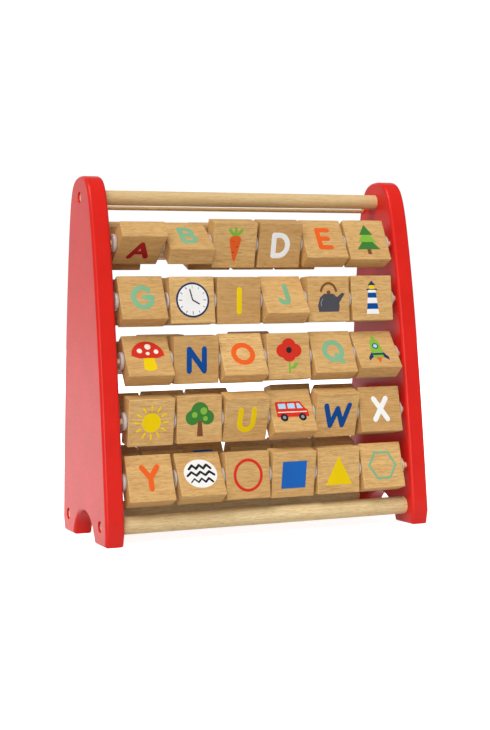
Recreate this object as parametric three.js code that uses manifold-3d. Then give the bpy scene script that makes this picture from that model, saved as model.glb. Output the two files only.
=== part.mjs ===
// Alphabet abacus: two A-shaped side panels, three rails and ten axles of turning tiles.
// Millimetres. X runs along the rails, -Y is the front, +Z is up, and the origin is on the floor at the middle.
import * as THREE from "three";
import { mergeVertices } from "three/addons/utils/BufferGeometryUtils.js";
import Module from "manifold-3d";

const wasm = await Module();
wasm.setup();

// Tiles
const tileWidth = 39.2;
const tileHeight = 39;
const tileThickness = 15.6;
const tileCornerCut = 0.5;
const tilesPerRow = 6;
const tileGap = 2.4;
const endGap = 6;

// Rows, counted from the top
const rowCount = 5;
const rowClearance = 6.2;
const lowRowClearance = 6.5;
const middleClearance = 5.4;
const axleInset = 8.8;

// Axles and their spacer beads
const axleDiameter = 5;
const axleSeat = 8;
const beadDiameter = 15;
const beadRimDrop = 0.8;
const leftBeadThickness = 3;
const rightBeadThickness = 1.8;
const hubDiameter = 10;

// Rails and the thin rod behind the top rail
const topRailDiameter = 12.6;
const bottomRailDiameter = 15;
const railSeat = 5;
const carryGap = 11.5;
const topRailDepthInPanel = 17.7;
const bottomRailHeight = 15.5;
const bottomRailInset = 17.2;
const rodDiameter = 3.6;
const rodSeat = 6;
const rodBehindRail = 22.5;
const rodBelowRail = 6.8;

// Side panels
const panelThickness = 16;
const footHalfDepth = 62.2;
const footCornerCut = 4;
const archHalfWidth = 29;
const archHeight = 23;
const panelEdgeRound = 2;
const sideBendHeight = 160;
const sideBulge = 5.8;
const crownReach = 0.835;
const crownHalfWidth = 22;

// Screws
const screwHeadDiameter = 8;
const screwHeadHeight = 3.3;
const screwHeadWall = 2.6;
const screwHeadFlat = 6;
const screwShankDiameter = 3.8;
const screwBite = 20;
const screwTip = 4;
const counterboreDiameter = 9.6;
const counterboreDepth = 4;

// Clearances
const turningClearance = 0.2;
const seatClearance = 0.1;
const sideClearance = 0.3;
const shankClearance = 0.3;

// Facets round a circle
const railFacets = 16;
const axleFacets = 10;
const boreFacets = 12;
const panelCurveSegments = 8;
const edgeRoundSegments = 2;

// How far each tile leans back from upright, in degrees, row by row from the top left.
const frontLean = [
  [-56, 52, -15, -15, 31, 26],
  [25, 5, -3, 36, 2, 5],
  [34, -3, 28, 6, 27, 37],
  [-11, -2, -20, 28, -17, 12],
  [22, 31, 4, -11, -1, 16],
];
const rearLean = [
  [22, 78, 22, 18, 24, 74],
  [4, 22, 50, 3, 46, 60],
  [66, 2, 72, 22, 58, 68],
  [50, 44, 40, 78, -12, 42],
  [24, 20, -31, 22, 14, 26],
];

// How far the front tiles of each row have slid along their axle, and how much more the row's first tile has,
// both as shares of the end gap.
const rowSlide = [0, 0, 0.1, 0.1, -0.12];
const firstTileSlide = [0, -0.25, 0, 0, -0.25];

// Places that follow from the sizes above
const swingRadius = Math.hypot(tileHeight, tileThickness) / 2;
const innerWidth = tilesPerRow * tileWidth + (tilesPerRow - 1) * tileGap + 2 * endGap;
const innerFace = innerWidth / 2;
const outerFace = innerFace + panelThickness;
const rowPitch = 2 * swingRadius + rowClearance;
const lowestRow = bottomRailHeight + bottomRailDiameter / 2 + lowRowClearance + swingRadius;
const highestRow = lowestRow + (rowCount - 1) * rowPitch;
const topRailHeight = highestRow + swingRadius + carryGap + topRailDiameter / 2;
const overallHeight = topRailHeight + topRailDepthInPanel;
const bottomRailDepth = footHalfDepth - bottomRailInset;
const topRowHalfDepth = swingRadius + middleClearance + axleInset;
const rowIndexes = [...Array(rowCount).keys()];
const columnIndexes = [...Array(tilesPerRow).keys()];

// The panel's front edge, from the floor to the top row, as half depth against height.
const bendShare = sideBendHeight / highestRow;
const bendHalfDepth = footHalfDepth + (topRowHalfDepth - footHalfDepth) * bendShare + sideBulge;
const sideCurve = new THREE.QuadraticBezierCurve(
  new THREE.Vector2(footHalfDepth, 0),
  new THREE.Vector2(bendHalfDepth, sideBendHeight),
  new THREE.Vector2(topRowHalfDepth, highestRow),
);

function halfDepthAt(height) {
  let low = 0;
  let high = 1;
  for (let step = 0; step < 40; step++) {
    const middle = (low + high) / 2;
    if (sideCurve.getPoint(middle).y < height) low = middle;
    else high = middle;
  }
  return sideCurve.getPoint(low).x;
}

const rowHeight = (row) => highestRow - row * rowPitch;
const rowDepth = (row) => halfDepthAt(rowHeight(row)) - axleInset;
const tileCentre = (column) => (column - (tilesPerRow - 1) / 2) * (tileWidth + tileGap);

function frontTileCentre(row, column) {
  const slide = rowSlide[row] + (column === 0 ? firstTileSlide[row] : 0);
  return tileCentre(column) + slide * endGap;
}

// A closed geometry as a solid for cutting and joining, and back again.
function toSolid(geometry) {
  const bare = geometry.clone();
  bare.deleteAttribute("normal");
  bare.deleteAttribute("uv");
  const merged = mergeVertices(bare, 1e-4);
  return new wasm.Manifold(
    new wasm.Mesh({
      numProp: 3,
      vertProperties: merged.attributes.position.array,
      triVerts: new Uint32Array(merged.index.array),
    }),
  );
}

function toGeometry(solid) {
  const mesh = solid.getMesh();
  const geometry = new THREE.BufferGeometry();
  geometry.setAttribute("position", new THREE.BufferAttribute(mesh.vertProperties, 3));
  geometry.setIndex(new THREE.BufferAttribute(mesh.triVerts, 1));
  geometry.computeVertexNormals();
  return geometry;
}

// A round bar along X whose middle is at the given point.
function bar(diameter, length, facets, x = 0, y = 0, z = 0) {
  const geometry = new THREE.CylinderGeometry(diameter / 2, diameter / 2, length, facets);
  geometry.rotateZ(-Math.PI / 2);
  geometry.translate(x, y, z);
  return geometry;
}

// A profile of [radius, place along X] turned round the X axis.
function turned(profile, facets) {
  const points = profile.map(([radius, along]) => new THREE.Vector2(radius, along));
  const geometry = new THREE.LatheGeometry(points, facets);
  geometry.rotateZ(-Math.PI / 2);
  return geometry;
}

// An outline in depth and height, extruded along X about its middle.
function slab(outline, thickness, rounding, segments) {
  const geometry = new THREE.ExtrudeGeometry(outline, {
    depth: thickness - 2 * rounding,
    bevelEnabled: rounding > 0,
    bevelThickness: rounding,
    bevelSize: rounding,
    bevelOffset: -rounding,
    bevelSegments: edgeRoundSegments,
    curveSegments: segments,
  });
  geometry.translate(0, 0, rounding - thickness / 2);
  const depthToY = new THREE.Vector3(0, 1, 0);
  const heightToZ = new THREE.Vector3(0, 0, 1);
  const thicknessToX = new THREE.Vector3(1, 0, 0);
  geometry.applyMatrix4(new THREE.Matrix4().makeBasis(depthToY, heightToZ, thicknessToX));
  return geometry;
}

const finishes = {
  redPaint: { color: 0xd8302a, roughness: 0.42, metalness: 0 },
  tileWood: { color: 0xcf9f63, roughness: 0.6, metalness: 0 },
  railWood: { color: 0xd9b97e, roughness: 0.55, metalness: 0 },
  beadPaint: { color: 0xe9dfd6, roughness: 0.45, metalness: 0 },
  steel: { color: 0xb9b9bd, roughness: 0.35, metalness: 1 },
};

const abacus = new THREE.Group();

function place(name, geometry, finish, position = [0, 0, 0], lean = 0) {
  const mesh = new THREE.Mesh(geometry, new THREE.MeshStandardMaterial(finishes[finish]));
  mesh.name = name;
  mesh.position.set(...position);
  mesh.rotation.x = -THREE.MathUtils.degToRad(lean);
  abacus.add(mesh);
  return mesh;
}

// Rails and the rod, each with its place and the depth that its ends enter the panels.
const rails = {
  top_rail: { diameter: topRailDiameter, y: 0, z: topRailHeight, seat: railSeat, screwed: true },
  front_bottom_rail: {
    diameter: bottomRailDiameter,
    y: -bottomRailDepth,
    z: bottomRailHeight,
    seat: railSeat,
    screwed: true,
  },
  rear_bottom_rail: {
    diameter: bottomRailDiameter,
    y: bottomRailDepth,
    z: bottomRailHeight,
    seat: railSeat,
    screwed: true,
  },
  rear_top_rod: {
    diameter: rodDiameter,
    y: rodBehindRail,
    z: topRailHeight - rodBelowRail,
    seat: rodSeat,
    screwed: false,
  },
};

const screwReach = panelThickness - railSeat - counterboreDepth + screwBite;
const pilotDepth = screwBite + 2 * seatClearance;

function makeRail({ diameter, seat, screwed }) {
  const length = innerWidth + 2 * (seat - seatClearance);
  let rail = toSolid(bar(diameter, length, railFacets));
  if (screwed) {
    for (const side of [-1, 1]) {
      const pilotMiddle = side * (length - pilotDepth) / 2;
      const pilotDiameter = screwShankDiameter + 2 * seatClearance;
      const pilot = bar(pilotDiameter, pilotDepth + seatClearance, axleFacets, pilotMiddle + side * seatClearance);
      rail = rail.subtract(toSolid(pilot));
    }
  }
  return toGeometry(rail);
}

for (const [name, rail] of Object.entries(rails)) {
  place(name, makeRail(rail), "railWood", [0, rail.y, rail.z]);
}

// Side panels
function panelOutline() {
  const crownTop = overallHeight;
  const crownStart = new THREE.Vector2(topRowHalfDepth, highestRow);
  const slope = crownStart.clone().sub(new THREE.Vector2(bendHalfDepth, sideBendHeight));
  const rise = (crownTop - highestRow) * crownReach;
  const shoulder = crownStart.clone().addScaledVector(slope, rise / slope.y);
  const archRadius = (archHalfWidth ** 2 + archHeight ** 2) / (2 * archHeight);
  const archAngle = Math.asin(archHalfWidth / archRadius);
  const outline = new THREE.Shape();
  outline.moveTo(footHalfDepth - footCornerCut, 0);
  outline.lineTo(halfDepthAt(footCornerCut), footCornerCut);
  outline.quadraticCurveTo(bendHalfDepth, sideBendHeight, crownStart.x, crownStart.y);
  outline.bezierCurveTo(shoulder.x, shoulder.y, crownHalfWidth, crownTop, 0, crownTop);
  outline.bezierCurveTo(-crownHalfWidth, crownTop, -shoulder.x, shoulder.y, -crownStart.x, crownStart.y);
  outline.quadraticCurveTo(-bendHalfDepth, sideBendHeight, -halfDepthAt(footCornerCut), footCornerCut);
  outline.lineTo(-footHalfDepth + footCornerCut, 0);
  outline.absarc(0, archHeight - archRadius, archRadius, Math.PI / 2 + archAngle, Math.PI / 2 - archAngle, true);
  return outline;
}

function makePanel(side) {
  let panel = toSolid(slab(panelOutline(), panelThickness, panelEdgeRound, panelCurveSegments));
  const inner = -side * panelThickness / 2;
  const outer = side * panelThickness / 2;
  const cut = (diameter, from, depth, towards, y, z, facets) => {
    const overrun = 1;
    const middle = from + towards * (depth - overrun) / 2;
    panel = panel.subtract(toSolid(bar(diameter, depth + overrun, facets, middle, y, z)));
  };
  for (const { diameter, y, z, seat, screwed } of Object.values(rails)) {
    cut(diameter + 2 * seatClearance, inner, seat, side, y, z, railFacets);
    if (!screwed) continue;
    cut(counterboreDiameter, outer, counterboreDepth, -side, y, z, railFacets);
    cut(screwShankDiameter + 2 * shankClearance, outer, panelThickness, -side, y, z, axleFacets);
  }
  for (const row of rowIndexes) {
    for (const face of [-1, 1]) {
      const socket = axleDiameter + 2 * seatClearance;
      cut(socket, inner, axleSeat, side, face * rowDepth(row), rowHeight(row), axleFacets);
    }
  }
  return toGeometry(panel);
}

const panelMiddle = innerFace + panelThickness / 2;
place("left_panel", makePanel(-1), "redPaint", [-panelMiddle, 0, 0]);
place("right_panel", makePanel(1), "redPaint", [panelMiddle, 0, 0]);

// Screws, pointing from the panel's outer face into the rail's end
function makeScrew(side) {
  const headRadius = screwHeadDiameter / 2;
  const shankRadius = screwShankDiameter / 2;
  const headSeat = outerFace - counterboreDepth + seatClearance;
  const tip = headSeat - screwReach;
  const profile = [
    [0, tip],
    [shankRadius, tip + screwTip],
    [shankRadius, headSeat],
    [headRadius, headSeat],
    [headRadius, headSeat + screwHeadWall],
    [screwHeadFlat / 2, headSeat + screwHeadHeight],
    [0, headSeat + screwHeadHeight],
  ];
  const geometry = turned(profile, axleFacets);
  if (side < 0) geometry.rotateZ(Math.PI);
  return geometry;
}

const screwedRails = { top: rails.top_rail, front: rails.front_bottom_rail, rear: rails.rear_bottom_rail };
for (const [sideName, side] of [["left", -1], ["right", 1]]) {
  for (const [railName, rail] of Object.entries(screwedRails)) {
    place(`${sideName}_${railName}_screw`, makeScrew(side), "steel", [0, rail.y, rail.z]);
  }
}

// Axles with their spacer beads: a bead at each gap given as [start, end] along X
function makeAxle(gaps) {
  const axleRadius = axleDiameter / 2;
  const beadRadius = beadDiameter / 2;
  const end = innerFace + axleSeat - seatClearance;
  const profile = [
    [0, -end],
    [axleRadius, -end],
  ];
  for (const [start, finish] of gaps) {
    profile.push([axleRadius, start]);
    profile.push([beadRadius - beadRimDrop, start]);
    profile.push([beadRadius, (start + finish) / 2]);
    profile.push([beadRadius - beadRimDrop, finish]);
    profile.push([axleRadius, finish]);
  }
  profile.push([axleRadius, end]);
  profile.push([0, end]);
  return turned(profile, axleFacets);
}

// The beads outside a stack of tiles that reaches from start to finish
function endBeads(start, finish) {
  const left = start - sideClearance;
  const right = finish + sideClearance;
  return [[left - leftBeadThickness, left], [right, right + rightBeadThickness]];
}

// The beads that lean against the left side of each front tile but the first
function middleBeads(row) {
  const thickness = tileGap - 2 * sideClearance;
  return columnIndexes.slice(1).map((column) => {
    const finish = frontTileCentre(row, column) - tileWidth / 2 - sideClearance;
    return [finish - thickness, finish];
  });
}

const rowEnd = innerFace - endGap;
for (const row of rowIndexes) {
  const start = frontTileCentre(row, 0) - tileWidth / 2;
  const finish = frontTileCentre(row, tilesPerRow - 1) + tileWidth / 2;
  const [leftBead, rightBead] = endBeads(start, finish);
  const frontAxle = makeAxle([leftBead, ...middleBeads(row), rightBead]);
  place(`front_axle_${row + 1}`, frontAxle, "beadPaint", [0, -rowDepth(row), rowHeight(row)]);
  const rearAxle = makeAxle(endBeads(-rowEnd, rowEnd));
  place(`rear_axle_${row + 1}`, rearAxle, "beadPaint", [0, rowDepth(row), rowHeight(row)]);
}

// Tiles
function tileOutline() {
  const y = tileThickness / 2;
  const z = tileHeight / 2;
  const c = tileCornerCut;
  const outline = new THREE.Shape();
  outline.moveTo(y - c, -z);
  outline.lineTo(y, -z + c);
  outline.lineTo(y, z - c);
  outline.lineTo(y - c, z);
  outline.lineTo(-y + c, z);
  outline.lineTo(-y, z - c);
  outline.lineTo(-y, -z + c);
  outline.lineTo(-y + c, -z);
  return outline;
}

const tileBody = toSolid(slab(tileOutline(), tileWidth, 0, 1));
const boreDiameter = (axleDiameter + 2 * turningClearance) / Math.cos(Math.PI / boreFacets);
const boreLength = innerWidth + 2 * endGap;
const boreBar = toSolid(bar(boreDiameter, boreLength, boreFacets));
const frontTile = toGeometry(tileBody.subtract(boreBar));
for (const row of rowIndexes) {
  for (const column of columnIndexes) {
    const position = [frontTileCentre(row, column), -rowDepth(row), rowHeight(row)];
    place(`tile_r${row + 1}_c${column + 1}`, frontTile.clone(), "tileWood", position, frontLean[row][column]);
  }
}

// A rear row: its tiles on one hub, so that the row turns together
function makeRearRow(leans) {
  let solid = toSolid(bar(hubDiameter, 2 * rowEnd - tileWidth, boreFacets));
  for (const column of columnIndexes) {
    const tile = slab(tileOutline(), tileWidth, 0, 1);
    tile.rotateX(THREE.MathUtils.degToRad(leans[column]));
    tile.translate(tileCentre(column), 0, 0);
    solid = solid.add(toSolid(tile));
  }
  return toGeometry(solid.subtract(boreBar));
}

for (const row of rowIndexes) {
  place(`rear_tiles_${row + 1}`, makeRearRow(rearLean[row]), "tileWood", [0, rowDepth(row), rowHeight(row)]);
}

export default abacus;
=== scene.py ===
"""Alphabet abacus: red side panels, wooden rails and five double rows of turning tiles."""

import logging
import math
from dataclasses import dataclass, field
from enum import Enum
from string import ascii_uppercase
from typing import Sequence

import bmesh
import bpy
from bmesh.types import BMEdge, BMesh, BMFace, BMVert
from bpy.types import Material, Node, NodeSocket, NodeTree, Object
from mathutils import Matrix, Vector


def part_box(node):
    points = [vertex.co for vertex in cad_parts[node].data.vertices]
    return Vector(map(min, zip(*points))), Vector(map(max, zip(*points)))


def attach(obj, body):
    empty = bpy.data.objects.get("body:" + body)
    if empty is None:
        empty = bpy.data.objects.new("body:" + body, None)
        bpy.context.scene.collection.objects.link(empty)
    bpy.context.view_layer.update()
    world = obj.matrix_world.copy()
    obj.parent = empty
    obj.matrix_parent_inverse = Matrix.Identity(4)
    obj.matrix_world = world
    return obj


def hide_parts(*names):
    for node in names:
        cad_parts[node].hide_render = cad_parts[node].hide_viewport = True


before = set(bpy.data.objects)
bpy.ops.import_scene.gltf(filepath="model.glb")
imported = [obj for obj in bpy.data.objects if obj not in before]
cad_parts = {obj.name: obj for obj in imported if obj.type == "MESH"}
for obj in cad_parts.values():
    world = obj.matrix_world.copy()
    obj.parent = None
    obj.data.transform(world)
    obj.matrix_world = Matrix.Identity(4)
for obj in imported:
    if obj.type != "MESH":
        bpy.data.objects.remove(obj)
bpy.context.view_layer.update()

log = logging.getLogger("abacus")

MM = 0.001
# In millimetres: what counts as no distance, and how close points are joined.
TOLERANCE = 0.01
MERGE_DISTANCE = 0.001
IMAGE_HEIGHT = 730
WHITE = (1.0, 1.0, 1.0, 1.0)

Point = tuple[float, float]
Path = tuple[Point, ...]


def linear(code: str) -> tuple[float, float, float, float]:
    """Turns a display colour into the linear values that shaders take.

    Args:
        code: Six hexadecimal digits, two each for red, green and blue.

    Returns:
        Linear red, green and blue, and a full alpha.
    """
    channels = [int(code[i : i + 2], 16) / 255 for i in (0, 2, 4)]
    values = [c / 12.92 if c <= 0.04045 else ((c + 0.055) / 1.055) ** 2.4 for c in channels]
    return (values[0], values[1], values[2], 1.0)


class NodeBench:
    """Adds and joins shader nodes in one node tree."""

    def __init__(self, tree: NodeTree) -> None:
        """Keeps the tree that the nodes go into."""
        self.tree = tree

    def add(self, kind: str, **settings: object) -> Node:
        """Adds a node and sets its named properties.

        Args:
            kind: The node's type name.
            settings: Properties to set on the node.

        Returns:
            The new node.
        """
        node = self.tree.nodes.new(kind)
        for name, value in settings.items():
            setattr(node, name, value)
        return node

    def link(self, out: NodeSocket, into: NodeSocket) -> None:
        """Joins an output socket to an input socket."""
        self.tree.links.new(out, into)

    def noise(
        self, position: NodeSocket, repeats: Sequence[float], detail: float, distortion: float = 0.0
    ) -> NodeSocket:
        """Adds noise that is stretched by its own amount along each axis.

        Args:
            position: The socket that gives the position in metres.
            repeats: Repeats per metre along X, Y and Z.
            detail: Octaves of finer noise.
            distortion: How far the noise is pulled about.

        Returns:
            The socket with the noise value.
        """
        stretched = self.add("ShaderNodeVectorMath", operation="MULTIPLY")
        self.link(position, stretched.inputs[0])
        stretched.inputs[1].default_value = repeats
        node = self.add("ShaderNodeTexNoise")
        node.inputs["Scale"].default_value = 1.0
        node.inputs["Detail"].default_value = detail
        node.inputs["Distortion"].default_value = distortion
        self.link(stretched.outputs[0], node.inputs["Vector"])
        return node.outputs["Fac"]

    def ranged(
        self,
        value: NodeSocket,
        start: float,
        end: float,
        low: float | NodeSocket = 0.0,
        high: float | NodeSocket = 1.0,
    ) -> NodeSocket:
        """Maps a value between start and end to between low and high.

        Args:
            value: The socket to map.
            start: The value that becomes low.
            end: The value that becomes high.
            low: A number, or a socket that gives it.
            high: A number, or a socket that gives it.

        Returns:
            The socket with the mapped value.
        """
        node = self.add("ShaderNodeMapRange")
        self.link(value, node.inputs["Value"])
        node.inputs["From Min"].default_value = start
        node.inputs["From Max"].default_value = end
        for name, limit in (("To Min", low), ("To Max", high)):
            if isinstance(limit, NodeSocket):
                self.link(limit, node.inputs[name])
            else:
                node.inputs[name].default_value = limit
        return node.outputs["Result"]

    def mixed(self, share: NodeSocket, first: NodeSocket, second: NodeSocket) -> NodeSocket:
        """Mixes two colours.

        Args:
            share: The socket that gives the share of the second colour.
            first: The colour at share 0.
            second: The colour at share 1.

        Returns:
            The socket with the mixed colour.
        """
        node = self.add("ShaderNodeMix", data_type="RGBA")
        self.link(share, node.inputs["Factor"])
        self.link(first, node.inputs["A"])
        self.link(second, node.inputs["B"])
        return node.outputs["Result"]


COLOUR = "NodeSocketColor"
NUMBER = "NodeSocketFloat"
VECTOR = "NodeSocketVector"

# Repeats of each effect per metre along X, Y and Z.
BAND_REPEATS = (9, 150, 150)
STREAK_REPEATS = (70, 760, 760)
FLECK_REPEATS = (190, 1500, 1500)
CLOUD_REPEATS = (28, 28, 28)
PEEL_REPEATS = (650, 650, 650)


def open_group(name: str, inputs: dict[str, str]) -> NodeBench:
    """Makes an empty shader node group for a surface.

    Args:
        name: The group's name.
        inputs: Socket types by name, beside the inputs that every surface has.

    Returns:
        A bench on the group's tree, with nodes named entry and exit.
    """
    tree = bpy.data.node_groups.new(name, "ShaderNodeTree")
    given = {"Position": VECTOR, **inputs, "Smooth": NUMBER, "Rough": NUMBER}
    results = {"Color": COLOUR, "Roughness": NUMBER, "Height": NUMBER}
    for way, sockets in (("INPUT", given), ("OUTPUT", results)):
        for label, kind in sockets.items():
            tree.interface.new_socket(label, in_out=way, socket_type=kind)
    bench = NodeBench(tree)
    bench.add("NodeGroupInput", name="entry")
    bench.add("NodeGroupOutput", name="exit")
    return bench


def wood_grain_group() -> NodeTree:
    """Builds the grain of close-grained wood that runs along X.

    Returns:
        The group, with colour, roughness and height.
    """
    found = bpy.data.node_groups.get("wood_grain")
    if found:
        return found
    bench = open_group("wood_grain", {"Tone": NUMBER, "Light": COLOUR, "Dark": COLOUR, "Fleck": COLOUR})
    entry = bench.tree.nodes["entry"].outputs
    leave = bench.tree.nodes["exit"].inputs
    bands = bench.noise(entry["Position"], BAND_REPEATS, detail=3.0, distortion=0.4)
    streaks = bench.noise(entry["Position"], STREAK_REPEATS, detail=3.0, distortion=0.2)
    flecks = bench.noise(entry["Position"], FLECK_REPEATS, detail=1.0)
    # The tone darkens the wood towards the fleck colour: the wood's own tone, and on the rails and rear
    # tiles also painted light and shade.
    tone_and_shade_share = bench.ranged(entry["Tone"], start=0.0, end=1.0, high=0.5)
    band_share = bench.ranged(bands, start=0.3, end=0.7, low=0.1, high=0.8)
    streak_share = bench.ranged(streaks, start=0.4, end=0.68, high=0.44)
    fleck_share = bench.ranged(flecks, start=0.54, end=0.68, high=0.55)
    banded = bench.mixed(band_share, entry["Light"], entry["Dark"])
    toned = bench.mixed(tone_and_shade_share, banded, entry["Fleck"])
    streaked = bench.mixed(streak_share, toned, entry["Fleck"])
    bench.link(bench.mixed(fleck_share, streaked, entry["Fleck"]), leave["Color"])
    sheen = bench.ranged(streaks, start=0.3, end=0.7, low=entry["Smooth"], high=entry["Rough"])
    bench.link(sheen, leave["Roughness"])
    bench.link(bench.ranged(flecks, start=0.4, end=0.7, low=1.0, high=0.0), leave["Height"])
    return bench.tree


def coating_group() -> NodeTree:
    """Builds the slight unevenness of a painted, printed or plated skin.

    Returns:
        The group, with colour, roughness and height.
    """
    found = bpy.data.node_groups.get("coating")
    if found:
        return found
    bench = open_group("coating", {"Base": COLOUR, "Deep": COLOUR})
    entry = bench.tree.nodes["entry"].outputs
    leave = bench.tree.nodes["exit"].inputs
    clouds = bench.noise(entry["Position"], CLOUD_REPEATS, detail=4.0)
    peel = bench.noise(entry["Position"], PEEL_REPEATS, detail=2.0)
    cloud_share = bench.ranged(clouds, start=0.35, end=0.7)
    bench.link(bench.mixed(cloud_share, entry["Base"], entry["Deep"]), leave["Color"])
    sheen = bench.ranged(peel, start=0.3, end=0.7, low=entry["Smooth"], high=entry["Rough"])
    bench.link(sheen, leave["Roughness"])
    bench.link(peel, leave["Height"])
    return bench.tree


@dataclass(frozen=True)
class Finish:
    """What every finish has: its name, its sheen and how deep its relief is."""

    name: str
    smooth: float
    rough: float
    relief: float

    def inputs(self) -> dict[str, object]:
        """Gives the group's input values that every finish has."""
        return {"Smooth": self.smooth, "Rough": self.rough}

    def group(self) -> NodeTree:
        """Gives the node group that makes the finish; each kind of finish has its own."""
        raise NotImplementedError

    def shine(self, shader: Node) -> None:
        """Sets the shader's plain values; a finish without any leaves them."""

    def material(self) -> Material:
        """Builds the material, or finds it if it is there already.

        Returns:
            The material.
        """
        found = bpy.data.materials.get(self.name)
        if found:
            return found
        made = bpy.data.materials.new(self.name)
        made.use_nodes = True
        bench = NodeBench(made.node_tree)
        shader = made.node_tree.nodes["Principled BSDF"]
        place = bench.add("ShaderNodeTexCoord")
        shift = bench.add("ShaderNodeAttribute", attribute_name="grain_shift")
        moved = bench.add("ShaderNodeVectorMath", operation="ADD")
        bench.link(place.outputs["Object"], moved.inputs[0])
        bench.link(shift.outputs["Vector"], moved.inputs[1])
        effect = bench.add("ShaderNodeGroup", node_tree=self.group())
        bench.link(moved.outputs[0], effect.inputs["Position"])
        # The tone attribute darkens the wood: its own tone, and on the rails and rear tiles also painted
        # light and shade.
        if "Tone" in effect.inputs:
            tone = bench.add("ShaderNodeAttribute", attribute_name="wood_tone_and_shade")
            bench.link(tone.outputs["Fac"], effect.inputs["Tone"])
        for label, value in self.inputs().items():
            effect.inputs[label].default_value = value
        bump = bench.add("ShaderNodeBump")
        bump.inputs["Distance"].default_value = self.relief * MM
        bump.inputs["Strength"].default_value = 1.0
        bench.link(effect.outputs["Height"], bump.inputs["Height"])
        bench.link(effect.outputs["Color"], shader.inputs["Base Color"])
        bench.link(effect.outputs["Roughness"], shader.inputs["Roughness"])
        bench.link(bump.outputs["Normal"], shader.inputs["Normal"])
        self.shine(shader)
        return made


@dataclass(frozen=True)
class WoodFinish(Finish):
    """Bare or oiled wood with grain along X."""

    light: str
    dark: str
    fleck: str
    gloss: float = 0.3

    def inputs(self) -> dict[str, object]:
        """Adds the three wood colours."""
        colours = {"Light": linear(self.light), "Dark": linear(self.dark), "Fleck": linear(self.fleck)}
        return {**super().inputs(), **colours}

    def group(self) -> NodeTree:
        """Gives the wood grain."""
        return wood_grain_group()

    def shine(self, shader: Node) -> None:
        """Sets the strength of the reflection."""
        shader.inputs["Specular IOR Level"].default_value = self.gloss


@dataclass(frozen=True)
class CoatedFinish(Finish):
    """Paint, ink or plating."""

    base: str
    deep: str
    metallic: float = 0.0
    gloss: float = 0.5
    clear: float = 0.0

    def inputs(self) -> dict[str, object]:
        """Adds the two colours that the skin varies between."""
        return {**super().inputs(), "Base": linear(self.base), "Deep": linear(self.deep)}

    def group(self) -> NodeTree:
        """Gives the uneven skin."""
        return coating_group()

    def shine(self, shader: Node) -> None:
        """Sets the metal share, the reflection and how far light passes through.

        Args:
            shader: The material's main shader.
        """
        shader.inputs["Transmission Weight"].default_value = self.clear
        shader.inputs["Metallic"].default_value = self.metallic
        shader.inputs["Specular IOR Level"].default_value = self.gloss


TILE_WOOD = WoodFinish(
    "sanded_beech", smooth=0.5, rough=0.68, relief=0.05, light="e0b97a", dark="cda062", fleck="a67842"
)
RAIL_WOOD = WoodFinish(
    "turned_beech", smooth=0.45, rough=0.6, relief=0.05, light="ead3a2", dark="e0c490", fleck="c09c66"
)
RED_PAINT = CoatedFinish(
    "red_satin", smooth=0.3, rough=0.38, relief=0.006, base="d8231a", deep="ce1f17", gloss=0.2
)
BEAD_PAINT = CoatedFinish(
    "milky_beads", smooth=0.35, rough=0.45, relief=0.01, base="f0e2da", deep="e8d6cc", clear=0.5
)
SCREW_STEEL = CoatedFinish(
    "zinc_steel", smooth=0.35, rough=0.5, relief=0.01, base="e6cdae", deep="d2b694", metallic=0.5
)

INK_SHEEN = {"smooth": 0.5, "rough": 0.62, "relief": 0.008, "gloss": 0.12}
INK_SHADE = 0.95


class Ink(Enum):
    """The print colours, as display colours."""

    DARK_RED = "a31c20"
    RED = "d0301f"
    ORANGE = "e25e22"
    YELLOW = "ecca04"
    CREAM = "f3ead8"
    WHITE = "efedea"
    MINT = "7eae86"
    GREEN = "7fb23c"
    DARK_GREEN = "3c7a34"
    LIGHT_BLUE = "a9d3ea"
    SKY_BLUE = "1c66bc"
    BLUE = "06478f"
    NAVY = "24375e"
    GREY = "8c9096"
    DARK_GREY = "4a4a50"
    BROWN = "7a4a2a"
    BLACK = "232326"

    def deep(self) -> str:
        """Gives the slightly darker colour that the ink varies to."""
        channels = [int(self.value[i : i + 2], 16) for i in (0, 2, 4)]
        return "".join(f"{int(channel * INK_SHADE):02x}" for channel in channels)

    def material(self) -> Material:
        """Gives the material of this ink."""
        name = "ink_" + self.name.lower()
        return CoatedFinish(name, base=self.value, deep=self.deep(), **INK_SHEEN).material()


def finish_object(name: str, bm: BMesh, materials: Sequence[Material], crease: float = 40.0) -> Object:
    """Turns a bmesh in millimetres into an object in metres at the origin.

    Args:
        name: The object's name.
        bm: The finished shape, which is freed.
        materials: The object's materials in slot order.
        crease: Edges turned more than this many degrees stay sharp.

    Returns:
        The new object.
    """
    bmesh.ops.scale(bm, vec=(MM, MM, MM), verts=bm.verts)
    mesh = bpy.data.meshes.new(name)
    bm.to_mesh(mesh)
    bm.free()
    for polygon in mesh.polygons:
        polygon.use_smooth = True
    mesh.set_sharp_from_angle(angle=math.radians(crease))
    for material in materials:
        mesh.materials.append(material)
    made = bpy.data.objects.new(name, mesh)
    bpy.context.scene.collection.objects.link(made)
    return made


def even_normals(piece: Object) -> None:
    """Keeps large flat faces flat beside their rounded edges."""
    modifier = piece.modifiers.new("even_normals", "WEIGHTED_NORMAL")
    modifier.keep_sharp = True


def pick_grain(piece: Object, shift: Vector, tone: float) -> None:
    """Gives a piece its own stretch of the grain and its tone, which on the rails and rear tiles also paints
    light and shade.

    Args:
        piece: The object to mark.
        shift: How far its grain is moved, in metres.
        tone: How dark the wood is drawn, from 0 to 1; on the rails and rear tiles this also paints light and
            shade.
    """
    layer = piece.data.attributes.new("grain_shift", "FLOAT_VECTOR", "POINT")
    for item in layer.data:
        item.vector = shift
    layer = piece.data.attributes.new("wood_tone_and_shade", "FLOAT", "POINT")
    for item in layer.data:
        item.value = tone


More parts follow.
